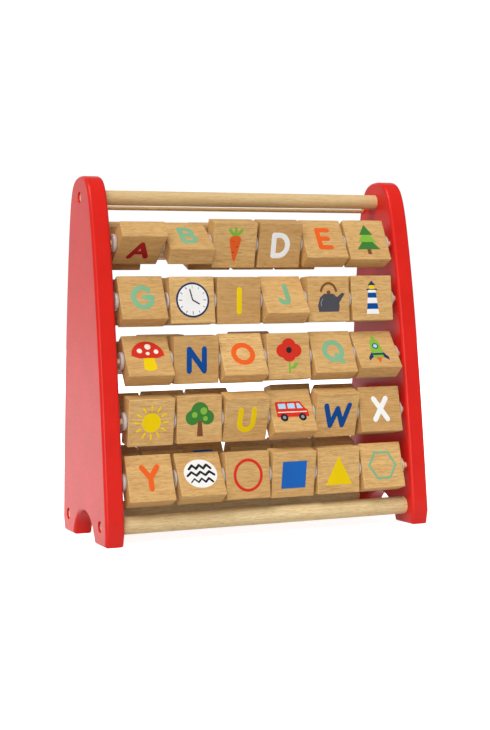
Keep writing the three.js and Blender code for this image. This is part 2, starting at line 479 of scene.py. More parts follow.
def turned(profile: Sequence[Point], steps: int = 48) -> BMesh:
    """Turns a profile round the X axis.

    Args:
        profile: Points as place along X and radius, ending on the axis at both ends.
        steps: Facets round the axis.

    Returns:
        The closed shape.
    """
    bm = bmesh.new()
    verts = [bm.verts.new((along, 0.0, radius)) for along, radius in profile]
    edges = [bm.edges.new(pair) for pair in zip(verts, verts[1:])]
    bmesh.ops.spin(
        bm,
        geom=verts + edges,
        cent=(0, 0, 0),
        axis=(1, 0, 0),
        angle=math.tau,
        steps=steps,
        use_merge=True,
    )
    bmesh.ops.remove_doubles(bm, verts=bm.verts, dist=MERGE_DISTANCE)
    bmesh.ops.recalc_face_normals(bm, faces=bm.faces)
    return bm


def round_edges(bm: BMesh, edges: Sequence[BMEdge], radius: float, steps: int) -> None:
    """Rounds edges of a shape.

    Args:
        bm: The shape.
        edges: The edges to round.
        radius: How far the rounding reaches on each side.
        steps: Facets across the rounding.
    """
    bmesh.ops.bevel(
        bm,
        geom=edges,
        offset=radius,
        offset_type="OFFSET",
        affect="EDGES",
        segments=steps,
        profile=0.5,
        material=-1,
        clamp_overlap=True,
    )


def raise_faces(bm: BMesh, faces: Sequence[BMFace], reach: Sequence[float]) -> None:
    """Extrudes faces into a solid.

    Args:
        bm: The shape.
        faces: The faces to extrude.
        reach: How far they move along X, Y and Z.
    """
    pushed = bmesh.ops.extrude_face_region(bm, geom=faces)
    moved = [item for item in pushed["geom"] if isinstance(item, BMVert)]
    bmesh.ops.translate(bm, vec=reach, verts=moved)


def cut_away(piece: Object, cutters: Sequence[Object]) -> None:
    """Cuts shapes out of a piece and removes them.

    Args:
        piece: The object that is cut.
        cutters: Closed shapes to take away.
    """
    for cutter in cutters:
        modifier = piece.modifiers.new("cut", "BOOLEAN")
        modifier.operation = "DIFFERENCE"
        modifier.solver = "EXACT"
        modifier.object = cutter
    graph = bpy.context.evaluated_depsgraph_get()
    old = piece.data
    piece.data = bpy.data.meshes.new_from_object(piece.evaluated_get(graph))
    piece.data.name = old.name
    piece.modifiers.clear()
    bpy.data.meshes.remove(old)
    for cutter in cutters:
        mesh = cutter.data
        bpy.data.objects.remove(cutter)
        bpy.data.meshes.remove(mesh)


def quadratic(start: Point, control: Point, end: Point, share: float) -> Point:
    """Gives a point on a quadratic curve.

    Args:
        start: The curve's first point.
        control: The point that it bends towards.
        end: The curve's last point.
        share: How far along, from 0 to 1.

    Returns:
        The point.
    """
    a, b, c = (1 - share) ** 2, 2 * share * (1 - share), share**2
    return (a * start[0] + b * control[0] + c * end[0], a * start[1] + b * control[1] + c * end[1])


def cubic(start: Point, first: Point, second: Point, end: Point, share: float) -> Point:
    """Gives a point on a cubic curve.

    Args:
        start: The curve's first point.
        first: The first control point.
        second: The second control point.
        end: The curve's last point.
        share: How far along, from 0 to 1.

    Returns:
        The point.
    """
    low = quadratic(start, first, second, share)
    high = quadratic(first, second, end, share)
    return (low[0] + (high[0] - low[0]) * share, low[1] + (high[1] - low[1]) * share)


@dataclass
class Layout:
    """The sizes and places that more than one sub-assembly needs, in millimetres."""

    tile_width: float = 39.2
    tile_gap: float = 2.4
    tiles_per_row: int = 6
    row_count: int = 5

    def middle(self, node: str) -> Vector:
        """Gives the middle of a CAD node's box in millimetres."""
        low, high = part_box(node)
        return (low + high) / (2 * MM)

    def row_centre(self, row: int, rear: bool) -> Vector:
        """Gives the middle of a row's axle in millimetres."""
        return self.middle(f"{'rear' if rear else 'front'}_axle_{row + 1}")

    def tile_centre(self, row: int, column: int, rear: bool) -> Vector:
        """Finds the place on the axle that a tile turns about.

        Args:
            row: The row, from 0 at the top.
            column: The column, from 0 at the left of the front.
            rear: Whether it is in the rear row.

        Returns:
            The place in millimetres.
        """
        across = (column - (self.tiles_per_row - 1) / 2) * (self.tile_width + self.tile_gap)
        if not rear:
            across = self.middle(f"tile_r{row + 1}_c{column + 1}").x
        centre = self.row_centre(row, rear)
        return Vector((across, centre.y, centre.z))


@dataclass
class SidePanels:
    """The two red A-shaped sides with their sunk screws."""

    layout: Layout
    screw_names: tuple[str, ...] = ("top", "front", "rear")
    rail_names: tuple[str, ...] = ("top_rail", "front_bottom_rail", "rear_bottom_rail")
    foot_half_depth: float = 62.2
    foot_corner_cut: float = 4.0
    bend_height: float = 160.0
    side_bulge: float = 5.8
    axle_inset: float = 8.8
    crown_reach: float = 0.835
    crown_half_width: float = 22.0
    arch_half_width: float = 29.0
    arch_height: float = 23.0
    edge_round: float = 2.8
    edge_steps: int = 5
    curve_steps: int = 28
    panel_crease: float = 50.0
    counterbore_diameter: float = 9.6
    counterbore_depth: float = 4.0
    counterbore_flare: float = 0.6
    cutter_overshoot: float = 1.0
    head_height: float = 3.3
    head_wall: float = 1.5
    head_radius: float = 4.0
    head_ease: float = 0.2
    dome_step: int = 15
    shank_radius: float = 1.9
    screw_tip: float = 4.0
    screw_facets: int = 32
    screw_crease: float = 35.0
    recess_size: tuple[float, float, float] = (2.4, 1.0, 4.8)
    recess_turns: tuple[float, float] = (45.0, 135.0)

    def side_curve(self, height: float) -> tuple[Point, Point, Point]:
        """Finds what the panel's edge bends by.

        Args:
            height: The panel's height.

        Returns:
            The bend of the side, the start of the shoulder and the pull of the shoulder.
        """
        row = self.layout.row_centre(0, True)
        start = (row.y + self.axle_inset, row.z)
        straight = self.foot_half_depth + (start[0] - self.foot_half_depth) * self.bend_height / start[1]
        bend = (straight + self.side_bulge, self.bend_height)
        slope = (start[0] - bend[0]) / (start[1] - bend[1])
        rise = (height - start[1]) * self.crown_reach
        return bend, start, (start[0] + slope * rise, start[1] + rise)

    def half_outline(self, height: float) -> list[Point]:
        """Traces the panel's edge from the arch to the middle of the crown.

        Args:
            height: The panel's height.

        Returns:
            Points as depth and height.
        """
        arch_radius = (self.arch_half_width**2 + self.arch_height**2) / (2 * self.arch_height)
        arch_angle = math.asin(self.arch_half_width / arch_radius)
        steps = self.curve_steps
        points: list[Point] = []
        for step in range(1, steps // 2 + 1):
            angle = arch_angle * step * 2 / steps
            rise = self.arch_height - arch_radius + arch_radius * math.cos(angle)
            points.append((arch_radius * math.sin(angle), max(rise, 0.0)))
        foot = (self.foot_half_depth, 0.0)
        bend, start, shoulder = self.side_curve(height)
        side = [quadratic(foot, bend, start, s / steps) for s in range(steps + 1)]
        points.append((self.foot_half_depth - self.foot_corner_cut, 0.0))
        points += [point for point in side if point[1] > self.foot_corner_cut / 2]
        crown = (self.crown_half_width, height)
        points += [cubic(start, shoulder, crown, (0.0, height), s / steps) for s in range(1, steps)]
        return points

    def build(self) -> None:
        """Builds both panels and their screws."""
        for side, name in ((-1, "left"), (1, "right")):
            self.build_panel(side, name)
            for screw, rail in zip(self.screw_names, self.rail_names):
                self.build_screw(side, f"{name}_{screw}_screw", rail)

    def build_panel(self, side: int, name: str) -> None:
        """Builds one panel with its counterbores.

        Args:
            side: -1 for the left panel and 1 for the right.
            name: The side's name.
        """
        node = f"{name}_panel"
        low, high = (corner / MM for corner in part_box(node))
        half = self.half_outline(high.z)
        outline = half + [(0.0, high.z)] + [(-y, z) for y, z in reversed(half)] + [(0.0, self.arch_height)]
        bm = bmesh.new()
        face = bm.faces.new([bm.verts.new((low.x, y, z)) for y, z in outline])
        raise_faces(bm, [face], (high.x - low.x, 0, 0))
        bmesh.ops.recalc_face_normals(bm, faces=bm.faces)
        rims = [edge for edge in bm.edges if abs(edge.verts[0].co.x - edge.verts[1].co.x) < TOLERANCE]
        round_edges(bm, rims, self.edge_round, self.edge_steps)
        panel = finish_object(node + "_painted", bm, [RED_PAINT.material()], self.panel_crease)
        outer = low.x if side < 0 else high.x
        cut_away(panel, [self.counterbore(outer, side, rail) for rail in self.rail_names])
        panel.data.set_sharp_from_angle(angle=math.radians(self.panel_crease))
        even_normals(panel)
        keep(panel, "frame", node)

    def counterbore(self, outer: float, side: int, rail: str) -> Object:
        """Makes the shape that sinks a screw's head.

        Args:
            outer: Where the panel's outer face is along X.
            side: -1 for the left panel and 1 for the right.
            rail: The rail that the screw holds.

        Returns:
            The cutter.
        """
        centre = self.layout.middle(rail)
        radius = self.counterbore_diameter / 2
        flare = self.counterbore_flare
        floor = outer - side * self.counterbore_depth
        profile = [
            (floor, 0),
            (floor, radius),
            (outer, radius),
            (outer + side * flare, radius + flare),
            (outer + side * self.cutter_overshoot, 0),
        ]
        bm = turned(profile)
        bmesh.ops.translate(bm, vec=(0, centre.y, centre.z), verts=bm.verts)
        return finish_object("counterbore", bm, [])

    def build_screw(self, side: int, node: str, rail: str) -> None:
        """Builds one pan-head screw with a cross recess.

        Args:
            side: -1 for a left screw and 1 for a right one.
            node: The CAD node that it stands for.
            rail: The rail that it holds.
        """
        low, high = (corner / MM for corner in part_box(node))
        centre = self.layout.middle(rail)
        length = high.x - low.x
        radius = self.head_radius
        shank = self.shank_radius
        seat = length - self.head_height
        dome = self.head_height - self.head_wall
        angles = [math.radians(angle) for angle in range(0, 90, self.dome_step)]
        profile = [(0, 0), (self.screw_tip, shank), (seat, shank), (seat, radius - self.head_ease)]
        profile += [(seat + self.head_wall + dome * math.sin(a), radius * math.cos(a)) for a in angles]
        profile.append((length, 0))
        bm = turned(profile, self.screw_facets)
        screw = finish_object(node + "_head", bm, [SCREW_STEEL.material()], self.screw_crease)
        cut_away(screw, [self.recess(length, turn) for turn in self.recess_turns])
        screw.data.set_sharp_from_angle(angle=math.radians(self.screw_crease))
        tip = Vector((high.x if side < 0 else low.x, centre.y, centre.z))
        facing = Matrix.Rotation(math.pi if side < 0 else 0.0, 4, "Z")
        screw.data.transform(Matrix.Translation(tip * MM) @ facing)
        keep(screw, "frame", node)

    def recess(self, length: float, turn: float) -> Object:
        """Makes the shape that cuts one slot of the cross recess.

        Args:
            length: Where the screw's head ends along X.
            turn: How far the slot is turned about X, in degrees.

        Returns:
            The cutter.
        """
        bm = bmesh.new()
        bmesh.ops.create_cube(bm, size=1)
        bmesh.ops.scale(bm, vec=self.recess_size, verts=bm.verts)
        bmesh.ops.rotate(bm, matrix=Matrix.Rotation(math.radians(turn), 3, "X"), verts=bm.verts)
        bmesh.ops.translate(bm, vec=(length, 0, 0), verts=bm.verts)
        return finish_object("slot_cutter", bm, [])


@dataclass
class Rails:
    """The carrying rail, the two rails at the feet and the thin rod."""

    end_chamfer: float = 0.5
    grain_step: tuple[float, float, float] = (0.31, 0.17, 0.06)
    # How dark each rail's wood is drawn, as painted light and shade: the top rail darker and the thin rod
    # darkest as painted shade under the top rail, and the rails at the feet pale as painted light from
    # below.
    tones: dict[str, float] = field(
        default_factory=lambda: {
            "top_rail": 0.95,
            "front_bottom_rail": 0.0,
            "rear_bottom_rail": 0.2,
            "rear_top_rod": 1.0,
        }
    )

    def build(self) -> None:
        """Builds every rail as a turned bar with eased ends."""
        for place, (node, tone) in enumerate(self.tones.items(), 1):
            low, high = (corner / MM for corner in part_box(node))
            radius = (high.z - low.z) / 2
            ease = self.end_chamfer
            profile = [
                (low.x, 0),
                (low.x, radius - ease),
                (low.x + ease, radius),
                (high.x - ease, radius),
                (high.x, radius - ease),
                (high.x, 0),
            ]
            bm = turned(profile)
            bmesh.ops.translate(bm, vec=(0, (low.y + high.y) / 2, (low.z + high.z) / 2), verts=bm.verts)
            rail = finish_object(node + "_turned", bm, [RAIL_WOOD.material()])
            # The tone paints this rail's light and shade into its wood.
            pick_grain(rail, Vector(self.grain_step) * place, tone)
            keep(rail, "frame", node)


@dataclass
class Axles:
    """The thin rods with their off-white beads between the tiles."""

    layout: Layout
    axle_diameter: float = 5.0
    side_clearance: float = 0.3
    bead_diameter: float = 15.0
    rim_drop: float = 0.7
    rim_step: int = 20
    left_bead: float = 3.0
    right_bead: float = 1.8
    crease: float = 50.0
    grain_step: tuple[float, float, float] = (0.23, 0.19, 0.11)
    rod_tone: float = 0.5

    def bead(self, start: float, finish: float) -> list[Point]:
        """Gives the profile of one bead with a rounded rim.

        Args:
            start: Where the bead begins along X.
            finish: Where it ends.

        Returns:
            Points as place along X and radius.
        """
        radius = self.bead_diameter / 2
        half = (finish - start) / 2
        rod = self.axle_diameter / 2
        drop = self.rim_drop
        angles = [math.radians(angle) for angle in range(0, 181, self.rim_step)]
        rim = [(start + half - half * math.cos(a), radius - drop + drop * math.sin(a)) for a in angles]
        return [(start, rod), *rim, (finish, rod)]

    def bead_places(self, row: int, rear: bool) -> list[Point]:
        """Finds where the beads of one axle are.

        Args:
            row: The row, from 0 at the top.
            rear: Whether it carries the rear row.

        Returns:
            Where each bead starts and ends along X, from the left.
        """
        slack = self.side_clearance
        thickness = self.layout.tile_gap - 2 * slack
        nodes = [f"tile_r{row + 1}_c{column + 1}" for column in range(self.layout.tiles_per_row)]
        boxes = [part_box(node) for node in ([f"rear_tiles_{row + 1}"] if rear else nodes)]
        left = boxes[0][0].x / MM - slack
        right = boxes[-1][1].x / MM + slack
        inner = [low.x / MM - slack for low, _ in boxes[1:]]
        middle = [(finish - thickness, finish) for finish in inner]
        return [(left - self.left_bead, left), *middle, (right, right + self.right_bead)]

    def build(self) -> None:
        """Builds every axle."""
        for row in range(self.layout.row_count):
            for rear in (False, True):
                self.build_axle(row, rear)

    def build_axle(self, row: int, rear: bool) -> None:
        """Builds one axle with its beads.

        Args:
            row: The row, from 0 at the top.
            rear: Whether it carries the rear row.
        """
        node = f"{'rear' if rear else 'front'}_axle_{row + 1}"
        low, high = (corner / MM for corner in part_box(node))
        centre = self.layout.row_centre(row, rear)
        rod = self.axle_diameter / 2
        profile: list[Point] = [(low.x, 0), (low.x, rod)]
        for start, finish in self.bead_places(row, rear):
            profile += self.bead(start, finish)
        profile += [(high.x, rod), (high.x, 0)]
        bm = turned(profile)
        for face in bm.faces:
            if all(math.hypot(vert.co.y, vert.co.z) < rod + TOLERANCE for vert in face.verts):
                face.material_index = 1
        bmesh.ops.translate(bm, vec=(0, centre.y, centre.z), verts=bm.verts)
        axle = finish_object(node + "_beads", bm, [BEAD_PAINT.material(), RAIL_WOOD.material()], self.crease)
        pick_grain(axle, Vector(self.grain_step) * (row + 1), self.rod_tone)
        keep(axle, "frame", node)


@dataclass(frozen=True)
class Stroke:
    """A line of ink with round ends, or a closed loop."""

    ink: Ink
    path: Path
    width: float
    closed: bool = False


@dataclass(frozen=True)
class Patch:
    """A filled area of ink."""

    ink: Ink
    corners: Path


Shapes = list[Stroke | Patch]


def lines(*points: Point) -> list[Path]:
    """Gives the straight strokes between points in turn."""
    return list(zip(points, points[1:]))


def arc(u: float, v: float, ru: float, rv: float, start: float, end: float, steps: int = 14) -> list[Path]:
    """Gives one curved stroke, part of an ellipse.

    Args:
        u: The middle across the tile.
        v: The middle up the tile.
        ru: The half width.
        rv: The half height.
        start: The first angle in degrees, from the right and anticlockwise.
        end: The last angle.
        steps: Straight pieces along the stroke.

    Returns:
        A list of the one path.
    """
    angles = [math.radians(start + (end - start) * step / steps) for step in range(steps + 1)]
    return [tuple((u + ru * math.cos(a), v + rv * math.sin(a)) for a in angles)]


def round_patch(ink: Ink, u: float, v: float, ru: float, rv: float) -> Patch:
    """Gives a filled ellipse.

    Args:
        ink: Its colour.
        u: The middle across the tile.
        v: The middle up the tile.
        ru: The half width.
        rv: The half height.

    Returns:
        The patch.
    """
    return Patch(ink, arc(u, v, ru, rv, 0, 350, 35)[0])


def box_patch(ink: Ink, left: float, low: float, right: float, high: float) -> Patch:
    """Gives a filled rectangle.

    Args:
        ink: Its colour.
        left: The left side.
        low: The bottom.
        right: The right side.
        high: The top.

    Returns:
        The patch.
    """
    return Patch(ink, ((left, low), (right, low), (right, high), (left, high)))


def polar(radius: float, angle: float) -> Point:
    """Gives a point by its distance from the middle and its angle in degrees."""
    return (radius * math.cos(math.radians(angle)), radius * math.sin(math.radians(angle)))


def dots(ink: Ink, *places: tuple[float, float, float]) -> Shapes:
    """Gives filled circles by their middles and radii."""
    return [round_patch(ink, u, v, radius, radius) for u, v, radius in places]


# The strokes of each sign about the middle of a tile, in millimetres.
SIGNS: dict[str, list[Path]] = {
    "A": lines((-7.2, -8.8), (0, 8.8), (7.2, -8.8)) + lines((-4.8, -3), (4.8, -3)),
    "B": lines((-5, -8.8), (-5, 8.8), (0.2, 8.8))
    + arc(0.2, 4.6, 4.6, 4.2, 90, -90)
    + lines((-5, 0.4), (1, 0.4))
    + arc(1, -4.2, 4.9, 4.6, 90, -90)
    + lines((1, -8.8), (-5, -8.8)),
    "C": arc(0.8, 0, 7.6, 8.8, 48, 312, 22),
    "D": lines((-6, -8.8), (-6, 8.8), (-1, 8.8))
    + arc(-1, 0, 7.8, 8.8, 90, -90)
    + lines((-1, -8.8), (-6, -8.8)),
    "E": lines((5, 8.8), (-4.6, 8.8), (-4.6, -8.8), (5, -8.8)) + lines((-4.6, 0), (3.6, 0)),
    "F": lines((5, 8.8), (-4.6, 8.8), (-4.6, -8.8)) + lines((-4.6, 0.4), (3.6, 0.4)),
    "G": arc(0, 0, 7.8, 8.8, 46, 360, 24) + lines((7.8, 0), (2, 0)),
    "H": lines((-6, -8.8), (-6, 8.8)) + lines((6, -8.8), (6, 8.8)) + lines((-6, 0), (6, 0)),
    "I": lines((0, -9), (0, 9)),
    "J": lines((2.6, 8.8), (2.6, -5)) + arc(-1, -5, 3.6, 3.8, 0, -165),
    "K": lines((-5.2, -8.8), (-5.2, 8.8)) + lines((5.4, 8.8), (-5.2, -1)) + lines((-1.2, 2.6), (6, -8.8)),
    "L": lines((-4.4, 8.8), (-4.4, -8.8), (5.2, -8.8)),
    "M": lines((-7.2, -8.8), (-7.2, 8.8), (0, -2.6), (7.2, 8.8), (7.2, -8.8)),
    "N": lines((-6.6, -8.8), (-6.6, 8.8), (6.6, -8.8), (6.6, 8.8)),
    "O": arc(0, 0, 8.4, 8, 0, 360, 30),
    "P": lines((-4.8, -8.8), (-4.8, 8.8), (0.4, 8.8))
    + arc(0.4, 4, 4.9, 4.8, 90, -90)
    + lines((0.4, -0.8), (-4.8, -0.8)),
    "Q": arc(0, 0.4, 8, 8.2, 0, 360, 30) + lines((2.4, -3.6), (7.4, -9.4)),
    "R": lines((-4.8, -8.8), (-4.8, 8.8), (0.2, 8.8))
    + arc(0.2, 4.2, 4.9, 4.6, 90, -90)
    + lines((0.2, -0.4), (-4.8, -0.4))
    + lines((0.4, -0.4), (5.6, -8.8)),
    "S": arc(0, 4.4, 5.2, 4.4, 35, 270) + arc(0, -4.4, 5.4, 4.4, 90, -145),
    "T": lines((-6.4, 8.8), (6.4, 8.8)) + lines((0, 8.8), (0, -8.8)),
    "U": lines((-6, 8.8), (-6, -2.8)) + arc(0, -2.8, 6, 6, 180, 360) + lines((6, -2.8), (6, 8.8)),
    "V": lines((-6.8, 8.8), (0, -8.8), (6.8, 8.8)),
    "W": lines((-10.8, 8.8), (-5.6, -8.8), (0, 6), (5.6, -8.8), (10.8, 8.8)),
    "X": lines((-5.8, 8.8), (5.8, -8.8)) + lines((5.8, 8.8), (-5.8, -8.8)),
    "Y": lines((-6.4, 8.8), (0, 0), (6.4, 8.8)) + lines((0, 0), (0, -8.8)),
    "Z": lines((-5.8, 8.8), (5.8, 8.8), (-5.8, -8.8), (5.8, -8.8)),
    "0": arc(0, 0, 5.8, 8.8, 0, 360, 26),
    "1": lines((-3.4, 5.6), (0.6, 8.8), (0.6, -8.8)),
    "2": arc(0, 3.8, 5.4, 5, 165, -35) + lines((4.4, 0.9), (-5.4, -8.8), (5.6, -8.8)),
    "3": arc(0, 4.6, 5, 4.2, 150, -90) + arc(0, -4.2, 5.4, 4.6, 90, -150),
    "4": lines((2.6, -8.8), (2.6, 8.8), (-6, -3.6), (6, -3.6)),
    "5": lines((5, 8.8), (-4, 8.8), (-4.6, 1.4)) + arc(-0.2, -3.2, 5.8, 5.6, 140, -145),
    "6": arc(0, -3.4, 5.4, 5.4, 0, 360, 26) + arc(5, -3.4, 10.4, 12.2, 180, 105),
    "7": lines((-5.4, 8.8), (5.4, 8.8), (-1.6, -8.8)),
    "8": arc(0, 4.6, 4.6, 4.2, 0, 360, 24) + arc(0, -4.2, 5.4, 4.6, 0, 360, 26),
    "9": arc(0, 3.4, 5.4, 5.4, 0, 360, 26) + arc(-5, 3.4, 10.4, 12.2, 0, -75),
}

LETTER_WIDTH = 4.8


def sign(text: str, ink: Ink, scale: float = 1.0, spread: float = 13.0) -> list[Stroke]:
    """Writes letters or digits side by side about the middle of a tile.

    Args:
        text: The signs to write.
        ink: Their colour.
        scale: Their size against a full letter.
        spread: The distance between neighbours at full size.

    Returns:
        The strokes.
    """
    strokes = []
    for place, name in enumerate(text):
        shift = (place - (len(text) - 1) / 2) * spread * scale
        for path in SIGNS[name]:
            points = tuple((u * scale + shift, v * scale) for u, v in path)
            closed = len(points) > 2 and math.dist(points[0], points[-1]) < TOLERANCE
            strokes.append(Stroke(ink, points[:-1] if closed else points, LETTER_WIDTH * scale, closed))
    return strokes


def carrot() -> Shapes:
    """Draws a carrot with three leaves.

    Returns:
        The shapes, the lowest first.
    """
    shoulder = ((-5.4, 5), (-4, 7.4), (0, 8.2), (4, 7.4), (5.4, 5))
    tip = ((3.4, -3), (1, -13), (0, -14.4), (-1.4, -12), (-4, -2))
    leaves = [Stroke(Ink.GREEN, ((0, 7), end), 2.8) for end in ((-5.4, 13), (0, 14.4), (5.4, 13))]
    rings = (((-3.6, 3.4), (-0.6, 3.4)), ((0.8, -1.4), (3, -1.4)), ((-2.4, -6), (-0.4, -6)))
    marks = [Stroke(Ink.DARK_RED, mark, 0.9) for mark in rings]
    return [*leaves, Patch(Ink.ORANGE, shoulder + tip), *marks]


def fir() -> Shapes:
    """Draws a fir tree of three tiers.

    Returns:
        The shapes, the lowest first.
    """
    tiers = [
        Patch(Ink.DARK_GREEN, ((-11, -9.6), (11, -9.6), (0, 4))),
        Patch(Ink.GREEN, ((-8.8, -2.4), (8.8, -2.4), (0, 9.6))),
        Patch(Ink.DARK_GREEN, ((-6.4, 4.6), (6.4, 4.6), (0, 14.6))),
    ]
    return [box_patch(Ink.BROWN, -1.8, -14.4, 1.8, -9), *tiers]


def clock() -> Shapes:
    """Draws a clock dial with twelve marks.

    Returns:
        The shapes, the lowest first.
    """
    marks = []
    for hour in range(12):
        angle = 90 - 30 * hour
        inner = 9.6 if hour % 3 == 0 else 10.6
        marks.append(Stroke(Ink.GREY, (polar(inner, angle), polar(11.8, angle)), 1.0))
    hands = [Stroke(Ink.BLACK, ((0, 0), (5.6, -3.2)), 1.3), Stroke(Ink.BLACK, ((0, 0), (-2.2, 8.8)), 1.1)]
    return [*dots(Ink.NAVY, (0, 0, 14.6)), *dots(Ink.WHITE, (0, 0, 13)), *marks, *hands]


def kettle() -> Shapes:
    """Draws a kettle with a brown handle.

    Returns:
        The shapes, the lowest first.
    """
    body = ((-9.6, -11), (9, -11), (10, -6), (8, 1), (4, 4.4), (-4.6, 4.4), (-8.6, 1), (-10.6, -6))
    handle = Stroke(Ink.BROWN, arc(-0.3, 4.4, 7.4, 9, 165, 15)[0], 2.2)
    spout = Patch(Ink.DARK_GREY, ((8, -6), (15, 4.4), (12.4, 5.2), (7, 1)))
    knob = round_patch(Ink.BROWN, -0.3, 5.6, 1.8, 1.6)
    shine = Stroke(Ink.GREY, arc(-1, -4, 6.6, 6, 200, 140)[0], 1.1)
    return [handle, spout, Patch(Ink.DARK_GREY, body), knob, shine]


def lighthouse() -> Shapes:
    """Draws a white lighthouse with blue bands.

    Returns:
        The shapes, the lowest first.
    """
    tower = Patch(Ink.WHITE, ((-6, -14), (6, -14), (3.6, 7), (-3.6, 7)))
    bands = [
        Patch(Ink.BLUE, ((-5.5, -9.6), (5.5, -9.6), (4.9, -4.6), (-4.9, -4.6))),
        Patch(Ink.BLUE, ((-4.4, 0.2), (4.4, 0.2), (3.9, 4.6), (-3.9, 4.6))),
    ]
    gallery = Stroke(Ink.NAVY, ((-4.6, 7.4), (4.6, 7.4)), 1.4)
    lamp = box_patch(Ink.YELLOW, -2.4, 7.6, 2.4, 11)
    roof = Patch(Ink.NAVY, ((-3.8, 11), (3.8, 11), (0, 15)))
    return [tower, *bands, gallery, lamp, roof]


def mushroom() -> Shapes:
    """Draws a red mushroom with a yellow stem.

    Returns:
        The shapes, the lowest first.
    """
    cap = arc(0, 0, 14, 13.4, 0, 180, 24)[0] + ((-8, -2.6), (8, -2.6))
    stem = ((-4.4, -2), (-5.6, -12.6), (-3, -14.4), (3, -14.4), (5.6, -12.6), (4.4, -2))
    spots = dots(Ink.CREAM, (-6.6, 4.4, 2.2), (1, 8.2, 2.6), (7.4, 3.4, 2), (0, 1.8, 1.6))
    return [Patch(Ink.YELLOW, stem), Patch(Ink.RED, cap), *spots]


def poppy() -> Shapes:
    """Draws a red poppy with a green stem.

    Returns:
        The shapes, the lowest first.
    """
    stem = Stroke(Ink.GREEN, ((0, 0), (0, -14)), 1.8)
    leaf = Patch(Ink.GREEN, ((0.4, -11), (5, -10.4), (8.8, -5.4), (4.6, -6)))
    places = ((-5.4, 4.6), (5.4, 4.6), (0, 9.2), (0, 1))
    petals = [round_patch(Ink.RED, u, v, 6.2, 5.8) for u, v in places]
    return [stem, leaf, *petals, *dots(Ink.BLACK, (0, 5, 2.6))]


def rocket() -> Shapes:
    """Draws a green rocket with navy fins.

    Returns:
        The shapes, the lowest first.
    """
    body = ((-4.8, -9), (4.8, -9), (5.4, 0), (4.2, 7), (0, 14.6), (-4.2, 7), (-5.4, 0))
    fin = ((4.4, -2), (9.6, -8.6), (9.6, -12), (4.4, -8))
    fins = [Patch(Ink.NAVY, tuple((side * u, v) for u, v in fin)) for side in (-1, 1)]
    flame = Patch(Ink.ORANGE, ((-2.8, -9), (2.8, -9), (0, -14.8)))
    window = [*dots(Ink.NAVY, (0, 3, 2.9)), *dots(Ink.LIGHT_BLUE, (0, 3, 1.9))]
    return [*fins, flame, Patch(Ink.GREEN, body), box_patch(Ink.NAVY, -5, -6.4, 5, -4.4), *window]


def sun() -> Shapes:
    """Draws a plain sun with twelve rays.

    Returns:
        The shapes, the lowest first.
    """
    rays = []
    for ray in range(12):
        angle = 30 * ray
        rays.append(Stroke(Ink.YELLOW, (polar(10.2, angle), polar(14, angle)), 1.5))
    return [*dots(Ink.YELLOW, (0, 0, 8)), *rays]


def tree() -> Shapes:
    """Draws a leafy tree.

    Returns:
        The shapes, the lowest first.
    """
    trunk = Patch(Ink.BROWN, ((-2.6, -14), (2.6, -14), (1.6, 0), (-1.6, 0)))
    crown = dots(Ink.DARK_GREEN, (-6.4, 1.4, 6), (6.4, 1.4, 6), (0, 6.4, 7.6))
    light = dots(Ink.GREEN, (-4.6, 3.6, 2.4), (3.4, 6.6, 3), (4.8, 0.4, 2))
    return [trunk, *crown, *light]


def van() -> Shapes:
    """Draws a red van with light blue windows.

    Returns:
        The shapes, the lowest first.
    """
    body = ((-14.6, -6), (14.6, -6), (14.6, 0), (12, 2), (8.4, 8), (-13.6, 8), (-14.6, 7))
    windows = [
        Patch(Ink.LIGHT_BLUE, ((5, 1.6), (10.4, 1.6), (7.4, 6.2), (5, 6.2))),
        box_patch(Ink.LIGHT_BLUE, -3.4, 1.6, 3.2, 6.2),
        box_patch(Ink.LIGHT_BLUE, -12, 1.6, -5.2, 6.2),
    ]
    stripe = Stroke(Ink.CREAM, ((-13, -1.6), (13, -1.6)), 1.0)
    wheels = dots(Ink.BLACK, (-8.4, -6.4, 3.4), (8.4, -6.4, 3.4))
    hubs = dots(Ink.GREY, (-8.4, -6.4, 1.5), (8.4, -6.4, 1.5))
    return [Patch(Ink.RED, body), *windows, stripe, *wheels, *hubs]


def zigzag() -> Shapes:
    """Draws black zigzag lines on a white ground.

    Returns:
        The shapes, the lowest first.
    """
    rows = []
    for height in (-6, 0, 6):
        reach = 9.4 if height else 11.6
        corners = [(reach * (2 * step / 6 - 1), height + (1.6 if step % 2 else -1.6)) for step in range(7)]
        rows += [Stroke(Ink.BLACK, pair, 2.2) for pair in lines(*corners)]
    return [round_patch(Ink.WHITE, 0, 0, 14.4, 12.6), *rows]


def ring() -> Shapes:
    """Draws a red circle line."""
    return [Stroke(Ink.RED, arc(0, 0, 11.8, 12.4, 0, 350, 35)[0], 2.6, closed=True)]


def square() -> Shapes:
    """Draws a blue square."""
    return [box_patch(Ink.SKY_BLUE, -11, -11.6, 11, 11.6)]


def triangle() -> Shapes:
    """Draws a yellow triangle."""
    return [Patch(Ink.YELLOW, ((-12.2, -12), (12.2, -12), (0, 12)))]


def hexagon() -> Shapes:
    """Draws a mint hexagon line."""
    corners = [polar(12.6, angle) for angle in range(0, 361, 60)]
    return [Stroke(Ink.MINT, pair, 2.2) for pair in lines(*corners)]


PLAIN_SHAPES = (ring, square, triangle, hexagon)

PICTURES = {
    "C": carrot,
    "F": fir,
    "H": clock,
    "K": kettle,
    "L": lighthouse,
    "M": mushroom,
    "P": poppy,
    "R": rocket,
    "S": sun,
    "T": tree,
    "V": van,
    "Z": zigzag,
}

INK_LETTERS = {
    Ink.DARK_RED: "A",
    Ink.RED: "FHRZ",
    Ink.ORANGE: "EKOTY",
    Ink.YELLOW: "IU",
    Ink.WHITE: "DLX",
    Ink.MINT: "BGJPQV",
    Ink.BLUE: "CMNSW",
}
LETTER_INKS = {letter: ink for ink, letters in INK_LETTERS.items() for letter in letters}

NUMBER_INKS = (Ink.DARK_RED, Ink.MINT, Ink.ORANGE, Ink.BLUE, Ink.YELLOW, Ink.WHITE)


